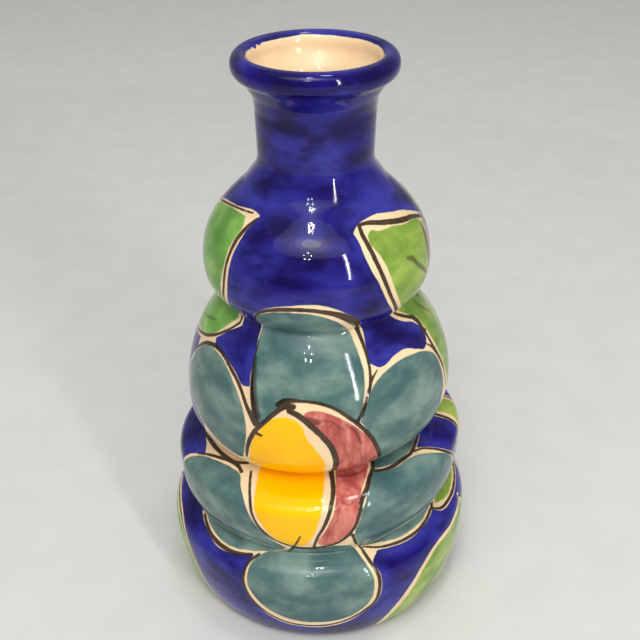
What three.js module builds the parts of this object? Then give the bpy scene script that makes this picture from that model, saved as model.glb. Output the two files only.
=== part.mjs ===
// A talavera vase: a wheel-thrown earthenware bottle of three stacked rings, a bulb and a rolled rim.
// The clay sections are luted one on another with a tongue in a groove, then glazed inside and out.
// Millimetres. +Z is up, and the origin is the middle of the foot's underside.
import * as THREE from "three";

// Driving dimensions.
const vaseHeight = 254;
const sides = 32;                // flat sides of every turned body
const glazeDepth = 0.7;
const fitGap = 0.3;              // clearance between bodies that touch
const clayDepth = glazeDepth + fitGap;
const wallAtFoot = 8.5;          // the whole wall, glazes included
const wallAtNeck = 4.4;
const outsideSteps = 3;          // points on each side of a bulge
const insideSteps = 2;
const innerSharpness = 0.7;      // how far the ridges inside follow the grooves outside

// Foot and floor.
const footHeight = 2.5;
const footOuter = 57;
const footInner = 46;
const footRounding = 1;
const clayUnderside = footHeight + fitGap;
const floorHeight = 12;
const floorRadius = 50;
const floorDip = 0.6;            // the floor is a little lower in its middle
const glazeEdge = { radius: 58.2, height: 3.1 };
const bellyEdge = { radius: 61.5, height: 4 };

// Where the wall is pinched in between two sections.
const bellyFoot = { radius: 60.6, height: 0 };
const lowGroove = { radius: 58.1, height: 50.4 };
const middleGroove = { radius: 45.8, height: 85.7 };
const highGroove = { radius: 39.6, height: 151.8 };
const neckBase = { radius: 23.4, height: 213 };
const neckTop = { radius: 24.2, height: 236.5 };

// Bulges between the grooves. A higher power keeps a side full for longer.
const belly = { radius: 70, height: 35.7, lowerPower: 2.4, upperPower: 3.2 };
const thirdRing = { radius: 65.3, height: 75.3, lowerPower: 3.05, upperPower: 3.05 };
const secondRing = { radius: 58.7, height: 108.4, lowerPower: 2.9, upperPower: 2.1 };
const bulb = { radius: 47.9, height: 168, lowerPower: 2.4 };
const bulbHandle = 26.7;         // how far the shoulder keeps rising upright from the bulb
const neckHandle = 13.5;         // how far it stands upright below the neck

// Rolled rim, an ellipse in section, and the throat that narrows from it into the neck.
const rimOuter = 32.9;
const rimHalfWidth = 3.85;
const rimHalfHeight = 4.9;
const rimSteps = 6;
const rimStart = -Math.PI / 2;
const rimEnd = Math.PI;          // the outer glaze stops here, inside the mouth
const throatHandle = 5;
const throatSteps = 3;

// The stacked rings sit a little askew: their grooves climb towards +X.
const leanSlope = 0.07;
const leanHeight = 160;

// A joint between two sections is a V across the middle third of the clay.
const jointShares = [0, 1 / 3, 1 / 2, 2 / 3, 1];
const jointDepth = 0.16;         // as a share of the clay's width

const clay = { color: 0xc98a63, roughness: 0.9, metalness: 0 };
const cobaltGlaze = { color: 0x1e1478, roughness: 0.12, metalness: 0 };
const creamGlaze = { color: 0xf2dfbd, roughness: 0.18, metalness: 0 };

function point(radius, height) {
  return new THREE.Vector2(radius, height);
}

function placeOf(named) {
  return point(named.radius, named.height);
}

// One side of a bulge, from the groove to just before the widest place.
function bulgeSide(groove, bulge, power, steps) {
  const points = [];
  for (let step = 0; step < steps; step += 1) {
    const share = 1 - step / steps;
    const radius = groove.radius + (bulge.radius - groove.radius) * (1 - share ** power);
    const height = bulge.height + (groove.height - bulge.height) * share;
    points.push(point(radius, height));
  }
  return points;
}

// A ring from its lower groove to just before its upper one.
function ringSide(lower, bulge, upper, steps) {
  const rising = bulgeSide(lower, bulge, bulge.lowerPower, steps);
  const closing = bulgeSide(upper, bulge, bulge.upperPower, steps).reverse();
  return [...rising, placeOf(bulge), ...closing.slice(0, -1)];
}

// The bulb and the shoulder that draws in to the neck.
function shoulderSide(steps) {
  const curve = new THREE.CubicBezierCurve(
    placeOf(bulb),
    point(bulb.radius, bulb.height + bulbHandle),
    point(neckBase.radius, neckBase.height - neckHandle),
    placeOf(neckBase),
  );
  const rising = bulgeSide(highGroove, bulb, bulb.lowerPower, steps);
  return [...rising, ...curve.getPoints(2 * steps).slice(0, -1)];
}

// The wall's outer face, as one rising line for each section from the belly to the rim.
function wallLines(steps) {
  return [
    ringSide(bellyFoot, belly, lowGroove, steps),
    ringSide(lowGroove, thirdRing, middleGroove, steps),
    ringSide(middleGroove, secondRing, highGroove, steps),
    shoulderSide(steps),
    [placeOf(neckBase)],
    [placeOf(neckTop)],
  ];
}

function rimCurve() {
  const points = [];
  for (let step = 0; step <= rimSteps; step += 1) {
    const angle = rimStart + ((rimEnd - rimStart) * step) / rimSteps;
    const radius = rimOuter - rimHalfWidth + rimHalfWidth * Math.cos(angle);
    const height = vaseHeight - rimHalfHeight + rimHalfHeight * Math.sin(angle);
    points.push(point(radius, height));
  }
  return points;
}

// The throat, from inside the neck's top up to the end of the rim's outer glaze.
function throatCurve(start, rimEdge) {
  const end = rimEdge.clone().sub(point(0, fitGap));
  const curve = new THREE.CubicBezierCurve(
    start,
    point(start.x, start.y + throatHandle),
    point(end.x, end.y - throatHandle),
    end,
  );
  return curve.getPoints(throatSteps).slice(1);
}

// A unit step to the left of the way between two points: into the clay on a rising outer line.
function leftOf(from, to) {
  return point(from.y - to.y, to.x - from.x).normalize();
}

// The same line moved sideways by a depth. A corner moves along its middle, by at most
// 1 / sharpness of the depth, and a point on the axis stays on it.
function moved(line, depthAt, sharpness = 0) {
  const last = line.length - 1;
  return line.map((place, index) => {
    const before = leftOf(line[Math.max(index - 1, 0)], line[Math.max(index, 1)]);
    const after = leftOf(line[Math.min(index, last - 1)], line[Math.min(index + 1, last)]);
    const middle = before.clone().add(after).normalize();
    const reach = depthAt(place) / Math.max(middle.dot(after), sharpness);
    const goal = place.clone().addScaledVector(middle, reach);
    return place.x === 0 ? point(0, goal.y) : goal;
  });
}

function wallDepth(place) {
  return wallAtFoot + ((wallAtNeck - wallAtFoot) * place.y) / neckTop.height;
}

// The sections' lines as one, with the index where each section starts.
function joined(lines) {
  const starts = [];
  const points = [];
  for (const line of lines) {
    starts.push(points.length);
    points.push(...line);
  }
  return { points, starts };
}

// The glazed outside, from under the belly's edge, over the rim, to just inside the mouth.
function outsideLine() {
  const lines = wallLines(outsideSteps);
  lines[0] = [placeOf(glazeEdge), placeOf(bellyEdge), ...lines[0].slice(1)];
  lines[lines.length - 1].push(...rimCurve());
  return joined(lines);
}

// The glazed inside, from the middle of the floor up to the mouth.
function insideLine(rimEdge) {
  const wall = joined(wallLines(insideSteps));
  const face = moved(wall.points, wallDepth, innerSharpness);
  const lines = wall.starts.map((start, index) => face.slice(start, wall.starts[index + 1]));
  const floor = [point(0, floorHeight - floorDip), point(floorRadius, floorHeight)];
  lines[0] = [...floor, ...lines[0].slice(1)];
  const rimLine = lines[lines.length - 1];
  rimLine.push(...throatCurve(rimLine[0], rimEdge));
  return joined(lines);
}

const outside = outsideLine();
const inside = insideLine(outside.points[outside.points.length - 1]);
const clayOutside = moved(outside.points, () => clayDepth);
const clayInside = moved(inside.points, () => -clayDepth);

// The tongue-and-groove line across the clay at the foot of a section, from outside to inside.
function wallJoint(section, lift) {
  const outer = clayOutside[outside.starts[section]];
  const inner = clayInside[inside.starts[section]];
  const drop = jointDepth * outer.distanceTo(inner);
  return jointShares.map((share) => {
    const dip = share === 1 / 2 ? drop : 0;
    return outer.clone().lerp(inner, share).add(point(0, lift - dip));
  });
}

// The upright joint between the floor slab and the belly, from top to bottom.
function slabJoint(shift) {
  const corner = clayInside[1];
  const radius = corner.x + shift;
  const middle = (corner.y + clayUnderside) / 2;
  const tongue = jointDepth * (corner.y - clayUnderside);
  return [
    point(radius, corner.y),
    point(radius, middle + tongue),
    point(radius + tongue, middle),
    point(radius, middle - tongue),
    point(radius, clayUnderside),
  ];
}

function leanAt(height) {
  const share = THREE.MathUtils.clamp(height / leanHeight, 0, 1);
  return leanSlope * Math.sin(Math.PI * share) ** 2;
}

// A body turned from a closed profile, upright on +Z, with the lean of the stacked rings.
function turned(name, profile, finish) {
  const closed = profile[0].x === 0 ? profile : [...profile, profile[0]];
  const geometry = new THREE.LatheGeometry(closed, sides);
  geometry.rotateX(Math.PI / 2);
  const places = geometry.attributes.position;
  for (let index = 0; index < places.count; index += 1) {
    const height = places.getZ(index);
    places.setZ(index, height + leanAt(height) * places.getX(index));
  }
  geometry.computeVertexNormals();
  const mesh = new THREE.Mesh(geometry, new THREE.MeshStandardMaterial(finish));
  mesh.name = name;
  return mesh;
}

function footRing() {
  const profile = [
    point(footInner + footRounding, 0),
    point(footOuter - footRounding, 0),
    point(footOuter, footRounding),
    point(footOuter, footHeight),
    point(footInner, footHeight),
    point(footInner, footRounding),
  ];
  return turned("foot_ring", profile, clay);
}

function floorSlab() {
  const profile = [clayInside[0], ...slabJoint(-fitGap / 2), point(0, clayUnderside)];
  return turned("floor_slab", profile.reverse(), clay);
}

// The belly is luted to the edge of the floor slab, and the foot covers that joint from below.
function bellyRing() {
  const underside = [...slabJoint(fitGap / 2), point(footOuter, clayUnderside)];
  const outerLine = clayOutside.slice(0, outside.starts[1]);
  const innerLine = clayInside.slice(2, inside.starts[1]).reverse();
  const profile = [...underside, ...outerLine, ...wallJoint(1, -fitGap / 2), ...innerLine];
  return turned("belly_ring", profile, clay);
}

// A section of the wall between the joints at its two ends.
function wallSection(name, section) {
  const bottom = wallJoint(section, fitGap / 2).reverse();
  const outerLine = clayOutside.slice(outside.starts[section] + 1, outside.starts[section + 1]);
  const top = wallJoint(section + 1, -fitGap / 2);
  const innerLine = clayInside.slice(inside.starts[section] + 1, inside.starts[section + 1]);
  return turned(name, [...bottom, ...outerLine, ...top, ...innerLine.reverse()], clay);
}

function rolledRim(section) {
  const bottom = wallJoint(section, fitGap / 2).reverse();
  const outerLine = clayOutside.slice(outside.starts[section] + 1);
  const innerLine = clayInside.slice(inside.starts[section] + 1);
  return turned("rolled_rim", [...bottom, ...outerLine, ...innerLine.reverse()], clay);
}

function outerGlaze() {
  const back = moved(outside.points, () => glazeDepth).reverse();
  return turned("outer_glaze", [...outside.points, ...back], cobaltGlaze);
}

function innerGlaze() {
  const back = moved(inside.points, () => -glazeDepth).reverse();
  return turned("inner_glaze", [...inside.points, ...back].reverse(), creamGlaze);
}

const vase = new THREE.Group();
vase.add(footRing(), floorSlab(), bellyRing());
["third_ring", "second_ring", "shoulder_bulb", "neck"].forEach((name, index) => {
  vase.add(wallSection(name, index + 1));
});
vase.add(rolledRim(5), outerGlaze(), innerGlaze());

export default vase;
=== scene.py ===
# A hand-painted talavera vase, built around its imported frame: painted glaze skins, a plain cream lining
# and an unglazed foot. Metres, +Z up, with the flower facing -Y.
import math

import bmesh
import bpy
import numpy as np
from mathutils import Matrix, Vector


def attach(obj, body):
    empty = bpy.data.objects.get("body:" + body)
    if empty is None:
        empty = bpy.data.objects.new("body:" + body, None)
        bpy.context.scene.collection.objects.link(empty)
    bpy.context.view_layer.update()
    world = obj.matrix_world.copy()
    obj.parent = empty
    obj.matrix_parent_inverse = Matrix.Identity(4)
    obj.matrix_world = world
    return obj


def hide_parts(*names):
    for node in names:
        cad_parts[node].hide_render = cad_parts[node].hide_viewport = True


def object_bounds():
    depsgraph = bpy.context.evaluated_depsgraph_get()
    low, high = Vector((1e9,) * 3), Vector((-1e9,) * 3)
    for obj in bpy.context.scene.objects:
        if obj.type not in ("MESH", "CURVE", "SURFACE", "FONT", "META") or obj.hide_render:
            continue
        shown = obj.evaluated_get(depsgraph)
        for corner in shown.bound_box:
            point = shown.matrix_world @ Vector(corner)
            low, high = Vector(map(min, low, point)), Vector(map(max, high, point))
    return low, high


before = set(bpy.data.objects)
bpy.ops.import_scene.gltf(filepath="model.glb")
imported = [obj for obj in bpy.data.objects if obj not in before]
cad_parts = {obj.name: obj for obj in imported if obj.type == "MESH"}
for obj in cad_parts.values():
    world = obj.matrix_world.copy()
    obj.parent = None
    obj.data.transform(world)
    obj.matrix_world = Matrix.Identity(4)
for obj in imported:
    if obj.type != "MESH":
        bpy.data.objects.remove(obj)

CAD_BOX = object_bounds()
HEIGHT = CAD_BOX[1].z - CAD_BOX[0].z
VASE_TOP = 254  # the outline below is in millimetres, up to this height
MM = HEIGHT / VASE_TOP

# The wall's outline in (radius, height): the grooves between sections, and the widest place of each.
BELLY_FOOT = (60.6, 0)
LOW_GROOVE = (58.1, 50.4)
MIDDLE_GROOVE = (45.8, 85.7)
HIGH_GROOVE = (39.6, 151.8)
NECK_BASE = (23.4, 213)
NECK_TOP = (24.2, 236.5)
BELLY = (70, 35.7)
THIRD_RING = (65.3, 75.3)
SECOND_RING = (58.7, 108.4)
BULB = (47.9, 168)
BELLY_POWERS = (2.4, 3.2)  # a higher power keeps a bulge's lower or upper side full for longer
THIRD_RING_POWERS = (3.05, 3.05)
SECOND_RING_POWERS = (2.9, 2.1)
BULB_POWER = 2.4
BULB_HANDLE = 26.7
NECK_HANDLE = 13.5
RIM_OUTER = 32.9
RIM_HALF_WIDTH = 3.85
RIM_HALF_HEIGHT = 4.9
LEAN_SLOPE = 0.07  # the stacked rings' grooves climb towards +X
LEAN_HEIGHT = 160
CURVE_STEPS = 80

# The glazes.
SPACING = 0.7  # between the painted skins' vertices
GROOVE_FILLET = 0.9  # how softly glaze fills a groove
FIRST_CLIMB = 5  # where the outer glaze turns in under the belly
EDGE_RADIUS = 58.2  # the glaze turns in under the belly to here
EDGE_HEIGHT = 3.1
SKIN_DEPTH = 0.55  # how thick the outer glaze is
BACK_ROWS = 10
LINING_DEPTH = 0.5
AXIS_WIDTH = 0.01  # anything nearer to the axis than this is on it
PAINT_RISE = 0.22  # painted fields stand this much proud of the ground
LINE_RISE = 0.12
THROWING_WAVE = 0.012  # ridges left by the potter's fingers
HAND_WAVE = 0.16  # slow unevenness of a hand-thrown wall
MOUTH_CLIMB = 307.2  # where the rim's cobalt ends inside the mouth
PAINT_REACH = 8  # painted distances are kept this far from an outline
PAINT_EDGE = (-0.4, 0.8)  # a field's relief rises between these depths inside its outline
LINE_EDGE = (-0.4, 0.4)
NARROWEST = 20  # no painted wall is nearer to the axis than this
NOTCH_TURN = -117  # where the mouth's cream has a few drips of cobalt
SHARP_ANGLE = 60
PLAIN_TURNS = np.arange(180) * 2 - 180  # where the linings and the foot have their vertices
BACK_TURN = 180  # the flower is painted again on the back
BACK_SPREAD = 0.92  # and there it is a little narrower

# The foot.
FOOT_OUTER = 57
FOOT_INNER = 46
FOOT_HEIGHT = 2.5
FLOOR_UNDERSIDE = 3
FLOOR_TOP = 9.4
FLOOR_EDGE = 48.6

# Colours, as linear red, green and blue.
CREAM = (0.90, 0.69, 0.43)
CREAM_SHADE = (0.84, 0.61, 0.36)
COBALT_DEEP = (0.003, 0.0, 0.055)
COBALT = (0.006, 0.0, 0.155)
COBALT_THIN = (0.045, 0.05, 0.36)
TEAL_DARK = (0.034, 0.098, 0.115)
TEAL = (0.070, 0.142, 0.133)
TEAL_LIGHT = (0.20, 0.30, 0.255)
GREEN_DARK = (0.08, 0.23, 0.04)
GREEN = (0.16, 0.39, 0.07)
GREEN_LIGHT = (0.30, 0.54, 0.12)
LIME_DARK = (0.08, 0.20, 0.02)
LIME = (0.19, 0.33, 0.04)
LIME_LIGHT = (0.36, 0.48, 0.09)
YELLOW_DARK = (0.98, 0.43, 0.0)
YELLOW = (1.0, 0.54, 0.0)
PINK_DARK = (0.36, 0.06, 0.055)
PINK = (0.46, 0.095, 0.08)
PINK_LIGHT = (0.68, 0.23, 0.17)
LINE_DARK = (0.010, 0.004, 0.002)
LINE_THIN = (0.045, 0.020, 0.009)
WASH_TINT = (0.24, 0.16, 0.14)
GLAZE_SPECULAR = 0.3
CLAY = (0.50, 0.26, 0.14)
CLAY_DARK = (0.40, 0.19, 0.10)
CLAY_PALE = (0.66, 0.42, 0.27)
PAPER_DARK = (0.68, 0.675, 0.66)
PAPER = (0.71, 0.705, 0.69)

# The camera: its place in shares of the vase's height, its angles in radians, its lens in millimetres.
CAMERA_AWAY = 1.4498
CAMERA_UP = 1.4075
CAMERA_ASIDE = 0.0042
CAMERA_PITCH = 0.5461
CAMERA_ROLL = -0.0082
CAMERA_LENS = 54.71
SENSOR = 36

# The studio, in metres, degrees and watts.
SHADE_RINGS = 6  # ellipses one in another, so that the shade's glow fades to its edge
SHADE_SMALLEST = 0.4
SHADE_STEP = 0.26
SHADE_FLATNESS = 0.42
SHADE_POWER = 2.2
BULBS = 5
BULB_ASIDE = -11
BULB_SPREAD = 4.5  # degrees from a cluster's middle
WORLD_TINT = (1, 0.97, 0.93, 1)
WORLD_STRENGTH = 0.33
FLOOR_REACH = 40
FLOOR_DROP = 0.0002  # the floor lies this far under the foot


# ---- the wall's outline

def bulge_side(groove, widest, power, steps=40):
    """One side of a bulge, from its groove to just before its widest place."""
    share = 1 - np.arange(steps) / steps
    radius = groove[0] + (widest[0] - groove[0]) * (1 - share ** power)
    height = widest[1] + (groove[1] - widest[1]) * share
    return np.column_stack([radius, height])


def ring_side(lower, widest, upper, lower_power, upper_power):
    rising = bulge_side(lower, widest, lower_power)
    closing = bulge_side(upper, widest, upper_power)[::-1]
    return np.vstack([rising, [widest], closing[:-1]])


def bezier(start, start_handle, end_handle, end, steps):
    share = np.linspace(0, 1, steps)[:, None]
    rest = 1 - share
    ends = rest ** 3 * np.array(start) + share ** 3 * np.array(end)
    handles = rest ** 2 * share * np.array(start_handle) + rest * share ** 2 * np.array(end_handle)
    return ends + 3 * handles


def rim_side():
    angle = np.linspace(-math.pi / 2, math.pi, CURVE_STEPS)
    radius = RIM_OUTER - RIM_HALF_WIDTH + RIM_HALF_WIDTH * np.cos(angle)
    height = VASE_TOP - RIM_HALF_HEIGHT + RIM_HALF_HEIGHT * np.sin(angle)
    return np.column_stack([radius, height])


def wall_outline():
    """The outer wall from the foot to just inside the mouth."""
    above_bulb = (BULB[0], BULB[1] + BULB_HANDLE)
    below_neck = (NECK_BASE[0], NECK_BASE[1] - NECK_HANDLE)
    share = np.linspace(0, 1, 12)[:-1, None]
    rim = rim_side()
    neck_base, neck_top = np.array(NECK_BASE), np.array(NECK_TOP)
    return np.vstack([
        ring_side(BELLY_FOOT, BELLY, LOW_GROOVE, *BELLY_POWERS),
        ring_side(LOW_GROOVE, THIRD_RING, MIDDLE_GROOVE, *THIRD_RING_POWERS),
        ring_side(MIDDLE_GROOVE, SECOND_RING, HIGH_GROOVE, *SECOND_RING_POWERS),
        bulge_side(HIGH_GROOVE, BULB, BULB_POWER),
        bezier(BULB, above_bulb, below_neck, NECK_BASE, CURVE_STEPS)[:-1],
        neck_base + (neck_top - neck_base) * share,
        neck_top + (rim[0] - neck_top) * share,
        rim,
    ])


def climbs_of(line):
    """How far along a line of (radius, height) each of its points is."""
    return np.concatenate([[0], np.cumsum(np.hypot(*np.diff(line, axis=0).T))])


def soften(line, climbs, width):
    """The line with its sharp grooves rounded, sampled evenly. Its two ends stay where they are."""
    per_width = 6
    step = width / per_width
    even = np.arange(0, climbs[-1], step)
    sampled = np.column_stack([np.interp(even, climbs, line[:, axis]) for axis in (0, 1)])
    reach = 3 * per_width
    weights = np.exp(-0.5 * (np.arange(-reach, reach + 1) * step / width) ** 2)
    padded = np.vstack([
        2 * sampled[0] - sampled[reach:0:-1],
        sampled,
        2 * sampled[-1] - sampled[-2:-reach - 2:-1],
    ])
    rounded = [np.convolve(padded[:, axis], weights / weights.sum(), "valid") for axis in (0, 1)]
    return even, np.column_stack(rounded)


RAW_WALL = wall_outline()
RAW_CLIMBS = climbs_of(RAW_WALL)
WALL_CLIMBS, WALL = soften(RAW_WALL, RAW_CLIMBS, GROOVE_FILLET)
LAST_CLIMB = WALL_CLIMBS[-1]


def climb_to(place):
    """How far up the wall one of its named places is."""
    return RAW_CLIMBS[np.argmin(np.hypot(*(RAW_WALL - np.array(place)).T))]


def wall_at(climbs):
    """Radius, height and outward direction of the wall at some climbs."""
    radius = np.interp(climbs, WALL_CLIMBS, WALL[:, 0])
    height = np.interp(climbs, WALL_CLIMBS, WALL[:, 1])
    slope_r = np.interp(climbs, WALL_CLIMBS, np.gradient(WALL[:, 0]))
    slope_h = np.interp(climbs, WALL_CLIMBS, np.gradient(WALL[:, 1]))
    size = np.hypot(slope_r, slope_h)
    return radius, height, slope_h / size, -slope_r / size


def leaning(places):
    """The same places with the lean of the stacked rings."""
    share = np.clip(places[..., 2] / LEAN_HEIGHT, 0, 1)
    lean = LEAN_SLOPE * np.sin(math.pi * share) ** 2
    leant = places.copy()
    leant[..., 2] += lean * places[..., 0]
    return leant


# ---- painting: curves on the wall
# Painted places are (turn, climb): degrees round the vase from its front, to the right, and millimetres
# up its wall.

def smooth_side(points, steps=5):
    """A smooth curve through points, with the third value of a brush stroke, its width, carried along."""
    points = np.array(points, float)
    if len(points) < 3:
        return points
    gaps = np.hypot(points[1:, 0] - points[:-1, 0], points[1:, 1] - points[:-1, 1])
    speed = np.diff(points, axis=0) / gaps[:, None]
    middle = (speed[:-1] * gaps[1:, None] + speed[1:] * gaps[:-1, None]) / (gaps[:-1] + gaps[1:])[:, None]
    tangents = np.vstack([speed[:1], middle, speed[-1:]])
    share = (np.arange(steps) / steps)[:, None]
    pieces = []
    for start, end, leave, arrive, gap in zip(points, points[1:], tangents, tangents[1:], gaps):
        pieces.append(
            start * (2 * share ** 3 - 3 * share ** 2 + 1)
            + end * (3 * share ** 2 - 2 * share ** 3)
            + gap * leave * (share ** 3 - 2 * share ** 2 + share)
            + gap * arrive * (share ** 3 - share ** 2)
        )
    return np.vstack(pieces + [points[-1:]])


def outline(first_side, *sides):
    """A closed outline of smooth sides. Each starts at the last point of the one before, in a corner."""
    path = smooth_side(first_side)
    for side in sides:
        path = np.vstack([path, smooth_side([path[-1], *side])])
    return path


def strokes(*paths):
    """Brush strokes through (turn, climb, width) points."""
    return [smooth_side(path) for path in paths]


def turned_by(path, turn):
    return path + np.array([turn] + [0] * (path.shape[1] - 1))


def on_the_back(path):
    narrower = path.copy()
    narrower[:, 0] *= BACK_SPREAD
    return turned_by(narrower, BACK_TURN)


def near(path, turns, climbs):
    """Which painted places could lie within reach of a path."""
    reach = math.degrees(PAINT_REACH / NARROWEST)
    in_turn = (turns > path[:, 0].min() - reach) & (turns < path[:, 0].max() + reach)
    in_climb = (climbs > path[:, 1].min() - PAINT_REACH) & (climbs < path[:, 1].max() + PAINT_REACH)
    return in_turn & in_climb


def stretches(path, turns, climbs, radii):
    """For each stretch of a path: its ends as seen from every place, in millimetres along the wall."""
    per_degree = np.radians(1) * radii
    for start, end in zip(path, path[1:]):
        from_x, from_y = (start[0] - turns) * per_degree, start[1] - climbs
        to_x, to_y = (end[0] - turns) * per_degree, end[1] - climbs
        yield start, end, from_x, from_y, to_x, to_y


def nearest_on(from_x, from_y, to_x, to_y):
    """Distance from the origin to a stretch, and the share along it of the nearest point."""
    along_x, along_y = to_x - from_x, to_y - from_y
    length = np.maximum(along_x ** 2 + along_y ** 2, 1e-9)
    share = np.clip(-(from_x * along_x + from_y * along_y) / length, 0, 1)
    return np.hypot(from_x + share * along_x, from_y + share * along_y), share


def depth_inside(path, turns, climbs, radii):
    """How far inside a closed outline each place is, negative outside."""
    closed = np.vstack([path, path[:1]])
    depth = np.full(len(turns), float(PAINT_REACH))
    inside = np.zeros(len(turns), bool)
    for start, end, from_x, from_y, to_x, to_y in stretches(closed, turns, climbs, radii):
        depth = np.minimum(depth, nearest_on(from_x, from_y, to_x, to_y)[0])
        crosses = (from_y > 0) != (to_y > 0)
        rise = np.where(crosses, to_y - from_y, 1)
        inside ^= crosses & (from_x - from_y * (to_x - from_x) / rise > 0)
    return np.where(inside, depth, -depth)


def depth_in_stroke(path, turns, climbs, radii):
    """How far inside a brush stroke each place is, negative beside it."""
    depth = np.full(len(turns), -float(PAINT_REACH))
    for start, end, from_x, from_y, to_x, to_y in stretches(path, turns, climbs, radii):
        distance, share = nearest_on(from_x, from_y, to_x, to_y)
        half_width = (start[2] + (end[2] - start[2]) * share) / 2
        depth = np.maximum(depth, half_width - distance)
    return depth


# ---- painting: the motifs

def left_leaf():
    """A leaf over the bulb and the second ring, left of the flower."""
    cream = outline(
        [(-98.5, 228), (-90, 231.5), (-75, 235), (-60, 236.8), (-45, 238.2), (-40, 237.2)],
        [(-43.5, 230.5), (-47, 218), (-48.3, 203), (-52, 192), (-49, 185), (-47.5, 181.5)],
        [(-54, 177), (-60, 171.5), (-67, 167), (-76, 164), (-86, 161.5), (-99, 160)],
        [(-104, 174), (-101, 184), (-98.5, 195), (-98.5, 228)],
    )
    green = outline(
        [(-96, 227.6), (-80, 232.2), (-65, 234.8), (-50, 235)],
        [(-47.6, 231.6), (-50, 223), (-51.6, 212), (-53.6, 202), (-56, 192), (-53, 183)],
        [(-58, 177.4), (-63, 172), (-70, 168.4), (-85, 164.5), (-98, 163)],
        [(-104, 174), (-99, 186), (-96, 196), (-96, 227.5)],
    )
    lines = strokes(
        [(-98, 228.6, 0.9), (-90, 230.3, 1), (-80, 232.9, 1), (-60, 236, 1), (-46, 237.3, 0.8)],
        [(-40.5, 236, 0.8), (-44, 232, 1.8), (-47.3, 226, 1.9), (-49.3, 217, 1.5), (-50.7, 205, 1.5),
         (-54, 192.5, 1.4), (-50, 184, 1.2), (-49.5, 182, 1)],
        [(-49.5, 182, 1.1), (-54, 177.6, 1.2), (-60, 173, 1.4), (-68, 168.5, 1.5), (-75, 166, 1.3),
         (-85, 163, 1.2), (-98, 161.6, 1)],
        [(-98.5, 228, 1.2), (-97.5, 212, 1.4), (-98.5, 196, 1.4), (-101, 187, 1)],
    )
    veins = strokes(
        [(-84, 218, 1), (-79, 211, 2.4), (-76, 206, 1.6)],
        [(-92, 168, 1), (-80, 172, 1.8), (-68, 176, 0.8)],
    )
    return {"cream": [cream], "green": [green], "line": lines, "wash": veins}


def right_leaf():
    """A leaf on the bulb, right of the flower, whose lower end crosses on to the second ring."""
    cream = outline(
        [(21.8, 232.3), (25, 234.6), (35, 236.8), (55, 235.2), (70, 231.4), (86, 224.4)],
        [(82, 212), (80.8, 198), (84, 186), (90, 178), (88, 168)],
        [(76, 166), (65, 173)],
        [(62, 176.5), (55, 180.2), (49.5, 184), (43.5, 192), (36, 201), (30.5, 211), (26, 220.5),
         (23.5, 229), (21.8, 232.3)],
    )
    green = outline(
        [(29.5, 230), (33, 231.8), (38, 230.6), (50, 230), (60, 228), (72, 226.8), (80, 222.5)],
        [(78, 210), (77.5, 196), (80, 186), (86, 177), (85, 170)],
        [(76, 169), (67, 177)],
        [(57, 184.5), (50, 192), (44, 199), (38, 209.5), (34, 221), (30.6, 226), (29.5, 230)],
    )
    lines = strokes(
        [(26.5, 235, 1.3), (32, 235, 1.8), (45, 232.8, 2.3), (60, 229.9, 2.4), (72, 227.6, 2),
         (80, 224.8, 1.8), (87, 221.6, 1.2)],
        [(26.8, 234.6, 1.6), (27, 231, 2), (28.6, 226, 2), (32, 215.5, 1.9), (34.6, 209, 1.9),
         (38.2, 202, 1.6), (43, 195.5, 1.5), (49, 189, 1.3), (53, 184.4, 1.4), (58, 181.3, 1.6),
         (64, 178, 1.8)],
        [(83, 225.5, 1), (80.5, 214, 1.5), (79.4, 200, 1.5), (81.5, 188, 1.4), (87.4, 178, 1.2)],
    )
    veins = strokes(
        [(50.5, 216, 1.8), (54, 214.8, 2.8), (58, 211, 2.6), (63, 207.5, 2.6), (69, 203, 2)],
        [(76.6, 222, 2), (75.4, 216, 5), (75, 209, 5), (76, 203, 2)],
    )
    return {"cream": [cream], "lime": [green], "line": lines, "wash": veins}


def trailing_leaf():
    """A leaf that hangs from the second ring, over the third, on to the top of the belly."""
    cream = outline(
        [(65, 173), (66, 178.5), (76, 184), (100, 184), (104, 168), (101, 130), (98, 90), (99, 49)],
        [(80, 48.6), (68, 49.4), (61, 51.2), (57.5, 55.3)],
        [(66, 60), (72, 68), (75, 78), (79.5, 92), (79, 104), (76, 120), (72, 136), (68.5, 152), (66, 163),
         (65, 173)],
    )
    upper_green = outline(
        [(67.4, 177), (80, 183), (98, 182), (101, 168), (98, 145), (95, 128), (88, 122)],
        [(80, 130), (74, 140), (70.8, 151), (69.6, 163), (67.4, 177)],
    )
    lower_green = outline(
        [(86, 116), (94, 112), (95, 90), (95.5, 51.4)],
        [(80, 51.2), (68, 52.2), (61.6, 55.4)],
        [(70, 61), (76, 70), (79, 80), (83.5, 92), (83.5, 104), (86, 116)],
    )
    lines = strokes(
        [(63.5, 178.6, 2), (65.6, 176, 2.8), (66.4, 170, 2.2), (66.6, 164, 1.8), (67.6, 158, 2),
         (69.4, 151, 1.5), (71, 141, 1.2), (75, 131, 1.2), (79, 116, 1.2), (80.5, 104, 1.4), (80.5, 92, 2),
         (77, 80, 1.3), (73, 68, 1.2), (66, 60, 1.2), (58, 55.4, 1.4)],
        [(65, 171, 1), (68, 169.4, 1.2)],
        [(58, 55.4, 1.2), (61, 52.2, 1.4), (68, 50.6, 1.5), (80, 49.7, 1.3), (98, 49.6, 1.1)],
        [(102, 170, 1), (99.6, 140, 1.3), (97, 100, 1.3), (97.6, 50, 1.1)],
        [(87, 120, 0.8), (97, 114, 1.2)],
    )
    veins = strokes(
        [(76, 181, 1.4), (79, 176, 1.7), (85, 170, 0.9)],
        [(84, 160, 0.9), (87, 148, 1.6), (90, 134, 0.8)],
    )
    return {"cream": [cream], "lime": [upper_green, lower_green], "line": lines, "wash": veins}


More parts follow.
